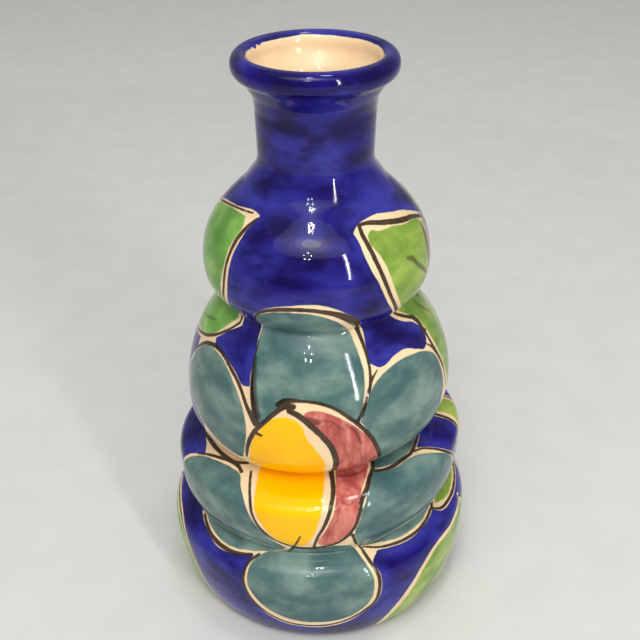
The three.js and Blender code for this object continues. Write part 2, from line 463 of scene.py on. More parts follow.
def top_petal():
    cream = outline(
        [(-31.4, 163), (-32, 172), (-33.4, 180), (-34.6, 188), (-32.6, 195.6), (-28.4, 199.6), (-21, 202.7),
         (-14, 204.2), (-5, 205.3), (2, 205.2), (8, 203.6), (13, 201), (17.6, 198.2), (22.6, 192.4),
         (25, 186.4), (26.4, 184.4), (25.2, 178), (25.2, 170)],
        [(30, 166), (22, 152), (0, 146), (-26, 146), (-31.4, 163)],
    )
    teal = outline(
        [(-25, 146), (-29.5, 156), (-31.2, 164), (-32, 173), (-33.4, 182), (-33.8, 189), (-30.4, 196.6),
         (-24, 199.9), (-10, 201.7), (0, 201), (7, 198.6), (13.4, 193.4), (18.2, 185), (20.8, 175),
         (21.3, 165), (18.8, 154), (15.5, 146)],
        [(-4, 140), (-25, 146)],
    )
    lines = strokes(
        [(-34.4, 188, 1), (-32.6, 194.6, 1.2), (-28.4, 198.8, 1.5), (-20, 201.9, 1.8), (-10, 203.2, 1.9),
         (0, 202.9, 1.9), (8, 201.3, 2.6), (14, 198.6, 3.6), (18.6, 195, 3.8), (21.6, 190.4, 3),
         (23.6, 184, 1.9), (24.5, 177, 1.5), (24.5, 168, 1.3), (22.7, 160, 1.4), (19.6, 153.5, 1.4),
         (16, 147.6, 1.6)],
        [(-32.4, 179, 0.8), (-31.6, 170, 1), (-29.6, 160, 1.6), (-27.6, 152.6, 2.2), (-25.6, 146.6, 2.4)],
    )
    shade = strokes([(-31, 172, 1.6), (-29.2, 163, 2.6), (-27.4, 155, 3.6), (-25.4, 149, 3.6)])
    return {"cream": [cream], "teal": [teal], "line": lines, "wash": shade}


def upper_left_petal():
    cream = outline(
        [(-79.6, 150), (-77, 155.6), (-74.4, 160), (-76, 164), (-68, 169), (-61.4, 171.2)],
        [(-59, 168), (-50, 167.4), (-44, 165.2), (-38, 161.8), (-34.6, 159.6), (-31, 160)],
        [(-24, 150), (-24, 138), (-28, 122), (-30, 104), (-45, 104), (-62, 103.6), (-66, 112), (-61, 121),
         (-57.4, 131.4)],
        [(-66, 136), (-73, 141.6), (-79.2, 150)],
    )
    teal = outline(
        [(-78, 150.4), (-74.6, 157), (-70, 162.4), (-64, 165.7), (-57, 166.7), (-49, 165.2), (-42, 161.2),
         (-36, 155.7), (-31.8, 148.5), (-30.2, 142), (-30.8, 136), (-32, 130)],
        [(-34, 125.5), (-42, 127), (-52, 130.4), (-62, 134.6), (-72, 141.4), (-78, 150.4)],
    )
    lines = strokes(
        [(-77.6, 154.6, 1), (-74, 159.6, 1.4), (-69, 164.2, 1.7), (-60, 167.6, 1.8), (-50, 167, 1.7),
         (-43, 163.8, 1.7), (-36, 159, 1.7), (-30.6, 151.6, 1.9), (-26.4, 145.4, 2.2)],
    )
    return {"cream": [cream], "teal": [teal], "line": lines}


def upper_right_petal():
    cream = outline(
        [(17, 147), (22, 158), (26, 168.5), (30, 167.2), (40, 169.7), (47, 169.6), (54, 166.3), (60, 164),
         (64, 165.8), (66.5, 172)],
        [(73, 160), (73, 146), (77, 130), (72, 120), (66, 110), (62.5, 103.6)],
        [(52, 101), (44, 100), (26, 101), (24, 120), (17, 147)],
    )
    teal = outline(
        [(17, 147), (20.8, 156), (25, 161.3), (32, 165), (40, 166.9), (50, 165.8), (60, 162.6), (65, 158.4),
         (67.3, 149), (67.5, 140), (65.5, 132), (63.5, 122), (62, 112), (59, 104)],
        [(48, 101.9), (38, 101.4), (28, 103.4)],
        [(29.6, 112), (27, 121), (24.6, 131), (21.6, 138.5), (17, 147)],
    )
    lines = strokes(
        [(18, 149.4, 1.2), (22, 159.6, 1), (25, 164, 1.1), (28, 166.5, 0.7)],
        [(61.5, 165.8, 0.8), (65, 162.2, 1.2), (67.4, 156, 1.3), (69, 149, 1.1)],
        [(26.6, 103, 1.8), (30, 101.6, 1.5), (36, 100.6, 1.9), (42, 100.8, 1.7), (48, 100.8, 1.7),
         (54, 102.2, 1.4), (62, 104.4, 1.2)],
    )
    return {"cream": [cream], "teal": [teal], "line": lines}


def flower_heart():
    """The bud in the middle of the flower, half yellow and half pink."""
    cream = outline(
        [(-14, 157.2), (-7, 158), (1, 157), (9, 153), (15.5, 146.5), (20, 141), (25, 131), (27.4, 121),
         (30, 112), (28, 105), (22.5, 99), (19.5, 94), (16.4, 88), (14.6, 80), (11, 72.4), (3, 67.2),
         (-3, 66.6), (-9, 67.6), (-16, 71), (-22, 77), (-26, 86), (-30, 95), (-34.5, 102), (-38, 108),
         (-34, 118), (-31, 129)],
        [(-29.4, 136), (-26, 142.5), (-21, 148.7), (-14, 157.2)],
    )
    yellow = outline(
        [(-30.4, 124), (-29.6, 130), (-28, 136), (-23.6, 144), (-18, 149.6), (-13.4, 150.8)],
        [(-8.8, 149.4), (-6, 146.6), (-5.4, 143.6), (-1.5, 137), (2.2, 129.5), (3, 118), (3, 106), (2, 97),
         (0, 84), (-3, 74), (-6, 69)],
        [(-11, 69.3), (-18, 74), (-22, 80.5), (-25, 88), (-28, 97), (-32, 107), (-32, 116), (-30.4, 124)],
    )
    pink = outline(
        [(-6.6, 151.6), (-4.5, 153.6), (1, 153.6), (8, 150.6), (15, 145), (20.4, 138.8), (24.2, 130),
         (26.6, 120), (28.4, 108.5)],
        [(22.8, 102), (18.8, 97), (16, 91), (14.6, 83), (11.8, 75.6), (6, 69.6), (0.4, 69.6), (-1, 72.5)],
        [(2.6, 80), (5.8, 90), (7.6, 101), (9, 108), (8.2, 120), (7.4, 132), (4, 141), (-2, 148),
         (-6.6, 151.6)],
    )
    lines = strokes(
        [(-16.6, 155.6, 2.4), (-14, 157.2, 2.6), (-7, 157.8, 1.4), (1, 156.8, 1.4), (7, 154.2, 1.5),
         (12.5, 149.7, 1.7), (18, 143.6, 1.8), (22, 137, 1.9), (25, 129.5, 1.9), (27.4, 120, 1.8),
         (30, 111, 1.5), (28, 105, 1.7), (23.4, 100.4, 1.8), (20, 95.4, 2), (16.5, 91, 2), (15, 85, 1.9),
         (13.4, 79, 1.8), (10.4, 73.4, 1.8), (6, 69.4, 1.8), (0, 67.3, 1.6), (-6, 67, 1.4),
         (-13, 69.3, 1.3), (-20, 74.5, 1.3), (-24.4, 81, 1.4), (-27, 89.5, 1.4), (-31, 97, 1.3),
         (-35, 103.5, 1.2)],
        [(-10, 155.3, 2), (-14, 154.8, 2.2), (-17.4, 152.2, 2), (-21.6, 147.8, 2), (-26, 142.5, 2.1),
         (-29, 136.6, 2.1), (-30.6, 131, 1.8), (-31.4, 127, 1)],
        [(-12, 153.5, 2.2), (-8, 151.8, 2.6), (-3, 147.6, 2.6), (1.4, 142.8, 2.6), (5, 137, 2.6),
         (7, 129.6, 2.6), (6.9, 120, 2.4), (6.6, 108, 2.2), (6.2, 98, 2.1), (4.2, 89.6, 1.8),
         (1.6, 80.8, 1.6), (-1, 74, 1.3), (-2.1, 68, 1)],
        [(-7, 76.4, 0.8), (-9, 70.6, 1.1), (-11, 65.4, 1.2), (-13.2, 59.4, 1.1)],
        [(-26.5, 145.6, 1.4), (-24.4, 144.8, 1)],
        [(-25, 141.4, 1.4), (-23.4, 141, 1.4)],
    )
    marks = strokes(
        [(-5, 151.2, 1.4), (-2.5, 149.6, 3.4), (0, 149, 2.6)],
        [(4, 146.6, 0.8), (6.6, 147.8, 0.8), (8, 145, 0.8), (6.4, 142.6, 0.8)],
        [(11, 147, 1.2), (14.6, 143.4, 1.8), (17, 136.5, 1.6)],
        [(1, 150, 1), (6, 148.6, 1.2), (10, 144.6, 0.8)],
        [(9, 140, 0.8), (12.6, 128, 0.9), (14, 116, 0.7)],
        [(16, 134, 0.6), (18.4, 124, 0.8), (19.5, 114, 0.6)],
        [(10, 105, 1.4), (16, 104, 1.6), (23, 104.6, 1.2)],
        [(9, 96, 0.8), (9.4, 91.6, 1), (12, 90.2, 1), (13.6, 92, 0.7)],
        [(3, 76, 0.6), (6, 83, 0.7), (7.6, 90, 0.5)],
    )
    fields = {"cream": [cream], "bud": [cream], "yellow": [yellow], "pink": [pink]}
    return {**fields, "line": lines, "wash": marks}


def lower_left_petal():
    cream = outline(
        [(-71.4, 84), (-69, 91.4), (-65.6, 95), (-62, 97)],
        [(-65.4, 98.8), (-70, 100.4), (-77, 101.2)],
        [(-72, 104), (-60, 105), (-42, 106.6), (-30, 106)],
        [(-20, 80), (-10, 66), (-12.6, 56.6), (-18, 57)],
        [(-25.6, 54.2), (-31, 51.8), (-36, 50.2), (-43, 49.2), (-52, 51.4), (-62, 55)],
        [(-62, 54.6)],
        [(-68, 60), (-73, 68), (-74, 77), (-71, 84)],
    )
    teal = outline(
        [(-67.4, 91), (-63, 95.6), (-55, 99), (-46, 100.6), (-39, 100), (-34, 94.6), (-29, 88.6),
         (-26, 81.6), (-22, 76), (-17.4, 70.6), (-13.6, 66)],
        [(-16.4, 60), (-19, 57.8), (-27, 55), (-34, 52.9), (-44, 52.4), (-54, 54.2), (-61, 57)],
        [(-67, 63), (-70.6, 73), (-70.6, 84), (-67.4, 91)],
    )
    lines = strokes(
        [(-78, 101.4, 1.8), (-68, 102.3, 2), (-56, 103, 2), (-46, 103.9, 2), (-40, 106.5, 1.6)],
        [(-66, 94.6, 0.9), (-61.6, 98, 1.4), (-55, 101, 1.7), (-48, 103, 1.8), (-43, 103, 1.8),
         (-39, 101.3, 1.6)],
        [(-61, 55.4, 1.2), (-50, 51.6, 1.8), (-42, 50.4, 2), (-33.6, 51, 1.8), (-28.4, 52.8, 1.5)],
    )
    return {"cream": [cream], "teal": [teal], "line": lines}


def lower_right_petal():
    cream = outline(
        [(24, 106), (32, 103.4), (48, 102.4), (54, 100), (58.6, 95.4), (62, 90), (67, 84.4), (72, 77)],
        [(73, 70), (70, 62), (64, 57), (57.6, 54.8), (49, 52.8), (40, 52), (30, 53), (23, 54.2)],
        [(21.4, 51)],
        [(14, 58), (9, 70), (14, 90), (24, 106)],
    )
    teal = outline(
        [(19, 92.6), (21.4, 97.6), (24.4, 101.4), (27.4, 102), (32, 100.4), (38, 99.4), (45, 99.4),
         (51, 97.6), (56.6, 93.4), (62, 87.6), (68, 79), (70, 70), (67, 62.6), (61, 58)],
        [(52, 55.6), (42, 54.6), (32, 55.4), (23, 57.4), (18, 58.8)],
        [(15.6, 65), (13.6, 71), (13.8, 78), (16, 86), (19, 92.6)],
    )
    lines = strokes(
        [(50, 100.6, 0.9), (54.4, 98.8, 1.2), (58, 95, 1.4), (61.6, 89.4, 1.5), (67, 83, 1.4),
         (71.6, 76, 1.2)],
        [(12.6, 74, 1.4), (14.4, 67, 1.3), (17, 60, 1.2), (18.6, 55, 1.2)],
        [(19, 57.6, 1), (25, 55, 1.2), (33, 53.4, 1.4), (41, 52.8, 1.4), (50, 53.6, 1.4),
         (57.4, 55.6, 1.2)],
    )
    return {"cream": [cream], "teal": [teal], "line": lines}


def bottom_petal():
    cream = outline(
        [(-26.4, 54.4), (-28.2, 50), (-29, 43), (-28.4, 35), (-25.6, 28.6), (-20.4, 21.4), (-14, 16.4),
         (-6, 15), (1, 15), (9, 17.8), (16, 23.4), (21, 28.8), (22.8, 36), (22.4, 44), (20.6, 50),
         (23.4, 53.4)],
        [(17, 62), (13, 73), (0, 71), (-12, 70), (-16, 58), (-26.4, 54.4)],
    )
    teal = outline(
        [(-18, 57.6), (-23.4, 55.4), (-26.4, 51.4), (-27.4, 44), (-26.6, 36.6), (-23.8, 31), (-19.6, 25.8),
         (-13, 21.4), (-6, 19.7), (1, 19.8), (8, 21.2), (14, 24.8), (18, 29.4), (19.8, 36), (19.7, 43),
         (18, 50), (15.6, 56.6), (12.4, 66)],
        [(0, 69), (-10, 67.6)],
        [(-14, 61), (-18, 57.6)],
    )
    lines = strokes(
        [(-25.4, 53.8, 1.4), (-27.9, 50, 1.6), (-28.9, 43, 1.7), (-28.2, 35.6, 1.6), (-25, 28, 1.5),
         (-19.4, 21.6, 1.5), (-13, 17.6, 1.5), (-5, 16.3, 1.5), (2, 16.8, 1.5), (9, 19.4, 1.5),
         (16, 24.4, 1.6), (20.6, 29.6, 1.7), (22, 37, 1.8), (21.6, 44, 1.7), (19.8, 50, 1.6),
         (18.4, 55, 1.6)],
    )
    return {"cream": [cream], "teal": [teal], "line": lines}


def lower_left_leaf():
    """A leaf that climbs the belly from the foot, left of the bottom petal."""
    cream = outline(
        [(-44, 0), (-48, 9), (-50.5, 17), (-53, 25), (-58, 35), (-64, 42.6), (-71, 46), (-80, 47.4),
         (-94, 47)],
        [(-99, 30), (-96, 12), (-90, 0)],
        [(-44, 0)],
    )
    green = outline(
        [(-49, 3), (-52.5, 14), (-56, 24), (-61, 34), (-67, 40.6), (-76, 43.6), (-92, 43.6)],
        [(-96, 30), (-93, 14), (-86, 3)],
        [(-49, 3)],
    )
    lines = strokes(
        [(-46, 4, 1), (-51.4, 17, 1.3), (-55.6, 28, 1.4), (-61, 37.4, 1.4), (-68, 43.2, 1.4),
         (-78, 45.6, 1.3), (-93, 45.4, 1.1)],
        [(-93.6, 45, 1.1), (-98, 30, 1.3), (-95, 14, 1.3), (-88, 3, 1)],
    )
    veins = strokes([(-66, 8, 1), (-75, 20, 2), (-88, 34, 1)])
    return {"cream": [cream], "green": [green], "line": lines, "wash": veins}


def lower_right_leaf():
    """A leaf that climbs the belly from the foot, right of the bottom petal."""
    cream = outline(
        [(21, 0), (25, 8), (28, 16), (31.6, 23), (36, 30), (41, 37), (46, 41.4), (52, 43.2), (61, 43.2),
         (70, 44.6), (76, 47.2)],
        [(80, 32), (78, 14), (72, 0)],
        [(21, 0)],
    )
    green = outline(
        [(25.4, 3), (30, 14), (34, 22), (38.4, 29.6), (43.4, 36.6), (49, 40.8), (60, 41.4), (68, 42.4),
         (75, 44.6)],
        [(77, 31), (75, 14), (68, 3)],
        [(25.4, 3)],
    )
    lines = strokes([(70, 43.8, 0.8), (75, 45.8, 1.2), (78.6, 34, 1.4), (77, 16, 1.3), (71, 3, 1)])
    veins = strokes([(38, 10, 1), (50, 22, 2), (62, 33, 1)])
    return {"cream": [cream], "lime": [green], "line": lines, "wash": veins}


MOTIFS = (
    left_leaf, right_leaf, trailing_leaf, top_petal, upper_left_petal, upper_right_petal, lower_left_petal,
    lower_right_petal, bottom_petal, lower_left_leaf, lower_right_leaf, flower_heart,
)
LAYERS = ("cream", "bud", "teal", "green", "lime", "yellow", "pink", "line", "wash")
FIELD_LAYERS = ("teal", "green", "lime", "yellow", "pink")
STROKE_LAYERS = ("line", "wash")


def painting():
    """Every painted outline and stroke of each layer. Only the front has the trailing leaf."""
    layers = {layer: [] for layer in LAYERS}
    for motif in MOTIFS:
        for layer, paths in motif().items():
            layers[layer] += paths
            if motif is not trailing_leaf:
                layers[layer] += [on_the_back(path) for path in paths]
    return layers


def paint_depths(paths, layer, turns, climbs, radii):
    """How deep inside any of a layer's paths each place is. The vase is closed, so turns repeat at 360."""
    measure = depth_in_stroke if layer in STROKE_LAYERS else depth_inside
    depths = np.full(len(turns), -float(PAINT_REACH))
    for path in paths:
        for lap in (-360, 0, 360):
            moved = turned_by(path, lap)
            close = near(moved, turns, climbs)
            if close.any():
                found = measure(moved, turns[close], climbs[close], radii[close])
                depths[close] = np.maximum(depths[close], found)
    return depths


def depth_in_mouth(turns, climbs):
    """How far inside the mouth's cream each place is. The cobalt ends there in a ragged edge."""
    angle = np.radians(turns)
    ragged = 0.2 * np.sin(5 * angle + 1) + 0.1 * np.sin(13 * angle)
    notches = 0.7 * np.exp(-((turns - NOTCH_TURN) / 7) ** 2) * (1 + np.sin(40 * angle))
    return np.clip(climbs - (MOUTH_CLIMB + ragged + notches), -PAINT_REACH, PAINT_REACH)


# ---- meshes

def ease(values, low, high):
    share = np.clip((values - low) / (high - low), 0, 1)
    return share * share * (3 - 2 * share)


def hand_wave(turns, climbs):
    """The slow unevenness of the thrown wall, in millimetres, and fine ridges from the fingers."""
    angle = np.radians(turns)
    slow = np.sin(2 * angle + climbs / 23) * 0.5 + np.sin(3 * angle - climbs / 31 + 1) * 0.5
    ridges = np.sin(climbs * 0.9 + 1.3 * np.sin(angle + 0.4) + 0.6 * np.sin(climbs / 7))
    fades = 0.35 + 0.65 * np.sin(climbs / 17 + angle) ** 2
    calm = 1 - ease(climbs, climb_to(NECK_TOP) - 4, climb_to(NECK_TOP) + 8)
    return (HAND_WAVE * slow + THROWING_WAVE * ridges * fades) * calm


def ring_mesh(name, places, faces_uv=None):
    """A closed body from a grid of rings: places[row, column]. The last row joins the first, and a ring
    that has shrunk to the axis becomes one point."""
    rows, columns = places.shape[:2]
    mesh = bpy.data.meshes.new(name)
    index = np.arange(rows * columns).reshape(rows, columns)
    below, above = index, np.roll(index, -1, axis=0)
    quads = np.stack([below, np.roll(below, -1, axis=1), np.roll(above, -1, axis=1), above], axis=-1)
    mesh.from_pydata((places.reshape(-1, 3) * MM).tolist(), [], quads.reshape(-1, 4).tolist())
    if faces_uv is not None:
        layer = mesh.uv_layers.new(name="OFBake")
        layer.data.foreach_set("uv", faces_uv.astype(np.float32).ravel())
    if np.hypot(places[..., 0], places[..., 1]).min() < AXIS_WIDTH:
        merge_axis(mesh)
    mesh.shade_smooth()
    mesh.set_sharp_from_angle(angle=math.radians(SHARP_ANGLE))
    piece = bpy.data.objects.new(name, mesh)
    bpy.context.scene.collection.objects.link(piece)
    return piece


def merge_axis(mesh):
    body = bmesh.new()
    body.from_mesh(mesh)
    bmesh.ops.remove_doubles(body, verts=body.verts, dist=AXIS_WIDTH * MM)
    body.to_mesh(mesh)
    body.free()


def strip_uv(front_rows, back_rows, columns, strips=3):
    """UVs for a ring mesh: the front in strips one over the other, and the hidden back along the top."""
    column = np.arange(columns)
    per_strip = columns // strips
    strip = np.minimum(column // per_strip, strips - 1)
    left = (column - strip * per_strip) / per_strip
    gap = 0.006
    width = 1 - 2 * gap
    front_share = 0.92
    back_start = 0.94
    back_share = 0.05
    tall = front_share / strips
    corners = ((0, 0), (1, 0), (1, 1), (0, 1))
    uv = np.zeros((front_rows + back_rows, columns, 4, 2))
    for corner, (right, up) in enumerate(corners):
        u = gap + width * (left + right / per_strip)
        row = np.arange(front_rows)[:, None]
        uv[:front_rows, :, corner, 0] = u
        uv[:front_rows, :, corner, 1] = strip * tall + gap + (tall - 2 * gap) * (row + up) / front_rows
        back_row = np.arange(back_rows)[:, None]
        uv[front_rows:, :, corner, 0] = (column + right) / columns
        uv[front_rows:, :, corner, 1] = back_start + back_share * (back_row + up) / back_rows
    return uv


def spun(radii, heights, turns):
    """Places for rings of these radii and heights at these turns, with the vase's lean."""
    angle = np.radians(turns)
    places = np.stack([
        radii * np.sin(angle),
        -radii * np.cos(angle),
        heights + 0 * angle,
    ], axis=-1)
    return leaning(places)


def painted_skin(name, first, last, layers):
    """One section of the outer glaze, painted, from one climb to another."""
    widest = np.interp(np.linspace(first, last, 60), WALL_CLIMBS, WALL[:, 0]).max()
    columns = 3 * math.ceil(2 * math.pi * widest / SPACING / 3)
    rows = math.ceil((last - first) / SPACING)
    climbs = np.linspace(first, last, rows + 1)
    turns = np.arange(columns) * 360 / columns - 180
    radius, height, out_r, out_h = (values[:, None] for values in wall_at(climbs))
    turn_grid, climb_grid = np.meshgrid(turns, climbs)
    radius_grid = np.repeat(radius, columns, axis=1)
    flat = [grid.ravel() for grid in (turn_grid, climb_grid, radius_grid)]
    depths = {layer: paint_depths(layers[layer], layer, *flat) for layer in LAYERS}
    depths["cream"] = np.maximum(depths["cream"], depth_in_mouth(*flat[:2]))
    # The bud lies over the petals behind it.
    depths["teal"] = np.minimum(depths["teal"], -depths.pop("bud"))

    field = np.max([depths[layer] for layer in FIELD_LAYERS], axis=0)
    rise = PAINT_RISE * ease(field, *PAINT_EDGE) + LINE_RISE * ease(depths["line"], *LINE_EDGE)
    rise = rise.reshape(rows + 1, columns) + hand_wave(turn_grid, climb_grid)
    front = spun(radius + rise * out_r, height + rise * out_h, turn_grid)
    front, depths = with_turned_edge(front, depths, first, turns)

    back_climbs = np.linspace(last, first, BACK_ROWS)
    back_radius, back_height, back_r, back_h = (values[:, None] for values in wall_at(back_climbs))
    inset = SKIN_DEPTH - hand_wave(turns[None], back_climbs[:, None])
    back = spun(back_radius - inset * back_r, back_height - inset * back_h, turns[None])
    places = np.vstack([front, back])
    piece = ring_mesh(name, places, strip_uv(len(front) - 1, BACK_ROWS + 1, columns))
    for layer, values in depths.items():
        hidden = np.full(BACK_ROWS * columns, -float(PAINT_REACH))
        attribute = piece.data.attributes.new(layer, "FLOAT", "POINT")
        attribute.data.foreach_set("value", np.concatenate([values, hidden]).astype(np.float32))
    return piece


def with_turned_edge(front, depths, first, turns):
    """The lowest skin turns in under the belly to the foot."""
    if first > FIRST_CLIMB:
        return front, depths
    share = np.linspace(0, 1, 7)[:-1, None]
    corner_radius, corner_height = (values[0] for values in wall_at(np.array([FIRST_CLIMB]))[:2])
    radii = EDGE_RADIUS + (corner_radius - EDGE_RADIUS) * np.sin(share * math.pi / 2)
    heights = corner_height + (EDGE_HEIGHT - corner_height) * np.cos(share * math.pi / 2)
    edge = spun(radii, heights, turns[None])
    longer = {
        layer: np.concatenate([np.tile(values[:len(turns)], len(share)), values])
        for layer, values in depths.items()
    }
    return np.vstack([edge, front]), longer


def lining(name, line):
    """A section of the plain inner glaze. The line of (radius, height) rises along the cavity's wall."""
    slopes = np.gradient(line, axis=0)
    slopes /= np.hypot(*slopes.T)[:, None]
    behind = line + LINING_DEPTH * np.column_stack([slopes[:, 1], -slopes[:, 0]])
    behind[:, 0] = np.maximum(behind[:, 0], line[:, 0].min())
    loop = np.vstack([line[::-1], behind])
    return ring_mesh(name, spun(loop[:, :1], loop[:, 1:], PLAIN_TURNS[None]))


def turned_solid(name, loop):
    """A plain body turned from a closed loop of (radius, height), given from the inside out."""
    loop = np.array(loop, float)
    return ring_mesh(name, spun(loop[:, :1], loop[:, 1:], PLAIN_TURNS[None]))


# ---- pieces

def outer_glaze():
    """The outer glaze in four sections that meet in the grooves, where no join shows."""
    layers = painting()
    ends = [FIRST_CLIMB, climb_to(LOW_GROOVE), climb_to(MIDDLE_GROOVE), climb_to(HIGH_GROOVE), LAST_CLIMB]
    names = ("glaze_belly", "glaze_third_ring", "glaze_second_ring", "glaze_bulb_and_rim")
    return [painted_skin(name, first, last, layers) for name, first, last in zip(names, ends, ends[1:])]


def inner_glaze():
    """The plain glaze inside, from the middle of the floor to the mouth, in two sections."""
    lower = smooth_side([(0, 11.4), (25, 11.5), (46, 12), (53, 13.4), (58.4, 17), (61.4, 24), (62.4, 33),
                         (59, 41.6), (48.6, 47.9), (54, 55.4), (58.2, 66), (57.4, 75), (50, 81),
                         (36.4, 83.2)])
    upper = smooth_side([(36.4, 83.2), (44, 88), (50, 97), (52, 108), (48.8, 127), (41, 142), (32.6, 152.2),
                         (39, 159), (42.2, 168), (39.6, 180), (32, 192), (24, 202), (19.4, 212), (19.4, 224),
                         (20, 236.6)])
    edge_radius, edge_height = WALL[-1]
    throat = bezier((20, 236.6), (20, 241.6), (edge_radius, edge_height - 5), WALL[-1], 24)
    return [
        lining("lining_lower", lower),
        lining("lining_upper", np.vstack([upper, throat[1:]])),
    ]


def rounded_corner(middle_radius, middle_height, size, first_angle):
    """A quarter circle that turns left, from its first angle, in degrees."""
    angle = np.radians(np.linspace(first_angle, first_angle + 90, 7))
    return [(middle_radius + size * math.cos(a), middle_height + size * math.sin(a)) for a in angle]


def foot_ring():
    """The unglazed ring that the vase stands on, worn round at its edges."""
    wear = 0.9
    margin = 2
    underside = [(radius, 0) for radius in np.linspace(FOOT_INNER + margin, FOOT_OUTER - margin, 12)]
    loop = [
        *rounded_corner(FOOT_INNER + wear, wear, wear, 180),
        *underside,
        *rounded_corner(FOOT_OUTER - wear, wear, wear, 270),
        (FOOT_OUTER, FOOT_HEIGHT),
        (FOOT_INNER, FOOT_HEIGHT),
    ]
    return turned_solid("clay_foot_ring", loop)


def floor_slab():
    """The floor of the vase, with the rings of the turning tool on its unglazed underside."""
    radii = np.linspace(0, FLOOR_EDGE, 90)
    tool_marks = 0.13 * np.sin(radii * 1.9 + 0.8 * np.sin(radii / 6)) * ease(radii, 1, 6)
    underside = [(radius, FLOOR_UNDERSIDE + mark) for radius, mark in zip(radii, tool_marks)]
    loop = [*underside, (FLOOR_EDGE, FLOOR_TOP), (0, FLOOR_TOP)]
    return turned_solid("clay_floor", loop)


# ---- materials

def new_material(name, **constants):
    """A material whose shader has these settings the same all over."""
    material = bpy.data.materials.new(name)
    material.use_nodes = True
    tree = material.node_tree
    shader = tree.nodes["Principled BSDF"]
    for socket, value in constants.items():
        shader.inputs[socket.replace("_", " ")].default_value = value
    return material, tree, shader


def feed(tree, socket, value):
    if isinstance(value, bpy.types.NodeSocket):
        tree.links.new(value, socket)
    else:
        socket.default_value = value


def blend(tree, share, low, high, kind="MIX"):
    """A colour between two others, or the first multiplied by the second."""
    node = tree.nodes.new("ShaderNodeMix")
    node.data_type = "RGBA"
    node.blend_type = kind
    for index, value in ((0, share), (6, low), (7, high)):
        feed(tree, node.inputs[index], (*value, 1) if isinstance(value, tuple) else value)
    return node.outputs[2]


def calculate(tree, operation, *values):
    node = tree.nodes.new("ShaderNodeMath")
    node.operation = operation
    for socket, value in zip(node.inputs, values):
        feed(tree, socket, value)
    return node.outputs[0]


def between(tree, value, low, high, low_result=0, high_result=1):
    """A smooth step from one result to another as a value goes from low to high."""
    node = tree.nodes.new("ShaderNodeMapRange")
    node.interpolation_type = "SMOOTHSTEP"
    for index, setting in enumerate((value, low, high, low_result, high_result)):
        feed(tree, node.inputs[index], setting)
    return node.outputs[0]


def noise(tree, size_mm, detail=2, stretch=(1, 1, 1), twist=0, offset=0):
    """Cloudy noise, with blots of about this size. A stretch makes brush marks of it."""
    coordinates = tree.nodes.new("ShaderNodeTexCoord")
    mapping = tree.nodes.new("ShaderNodeMapping")
    mapping.inputs["Location"].default_value = (offset, offset / 2, -offset)
    mapping.inputs["Rotation"].default_value = (0, twist, 0)
    mapping.inputs["Scale"].default_value = [1 / share for share in stretch]
    texture = tree.nodes.new("ShaderNodeTexNoise")
    texture.inputs["Scale"].default_value = 1 / (size_mm * MM)
    texture.inputs["Detail"].default_value = detail
    tree.links.new(coordinates.outputs["Object"], mapping.inputs["Vector"])
    tree.links.new(mapping.outputs["Vector"], texture.inputs["Vector"])
    return texture.outputs[0]


def painted(tree, layer, wobble):
    """How deep inside a painted layer the surface is, in millimetres, with an unsteady edge."""
    node = tree.nodes.new("ShaderNodeAttribute")
    node.attribute_name = layer
    return calculate(tree, "ADD", node.outputs["Fac"], wobble)


def add_bump(tree, shader, height, strength, depth_mm):
    bump = tree.nodes.new("ShaderNodeBump")
    bump.inputs["Strength"].default_value = strength
    bump.inputs["Distance"].default_value = depth_mm * MM
    tree.links.new(height, bump.inputs["Height"])
    tree.links.new(bump.outputs["Normal"], shader.inputs["Normal"])


def glossy_surface(tree, shader, low, high):
    """Uneven gloss, and the faint orange peel of a melted glaze."""
    gloss = between(tree, noise(tree, 14, 2), 0.3, 0.7, low, high)
    tree.links.new(gloss, shader.inputs["Roughness"])
    add_bump(tree, shader, noise(tree, 3.2, 2), 0.22, 0.1)


def cream_colour(tree):
    cloudy = between(tree, noise(tree, 22, 3), 0.3, 0.7)
    return blend(tree, cloudy, CREAM_SHADE, CREAM)


def cobalt_colour(tree):
    """Cobalt laid on with a broad brush: deep where it is thick, milky where it is thin or meets a motif."""
    clouds = between(tree, noise(tree, 34, 3), 0.38, 0.66)
    marks = between(tree, noise(tree, 12, 4, (1.5, 1.5, 0.7), 0.7, 3), 0.32, 0.7)
    beside = between(tree, painted(tree, "cream", 0), -7.5, -1, 0, 0.8)
    thin = calculate(tree, "MULTIPLY", clouds, marks)
    edge = calculate(tree, "MULTIPLY", beside, between(tree, marks, 0, 1, 0.3, 1))
    milky = calculate(tree, "MAXIMUM", thin, edge)
    body = blend(tree, marks, COBALT_DEEP, COBALT)
    return blend(tree, calculate(tree, "MULTIPLY", milky, 0.75), body, COBALT_THIN)


def washed_colour(tree, dark, middle, light, size, stretch, twist, offset):
    """A translucent colour with brush marks in it: darker where the strokes overlap."""
    marks = between(tree, noise(tree, size, 4, stretch, twist, offset), 0.34, 0.68)
    blots = between(tree, noise(tree, size * 1.7, 3, (1, 1, 1), 0, offset + 5), 0.4, 0.72)
    body = blend(tree, marks, middle, light)
    return blend(tree, calculate(tree, "MULTIPLY", blots, 0.8), body, dark)


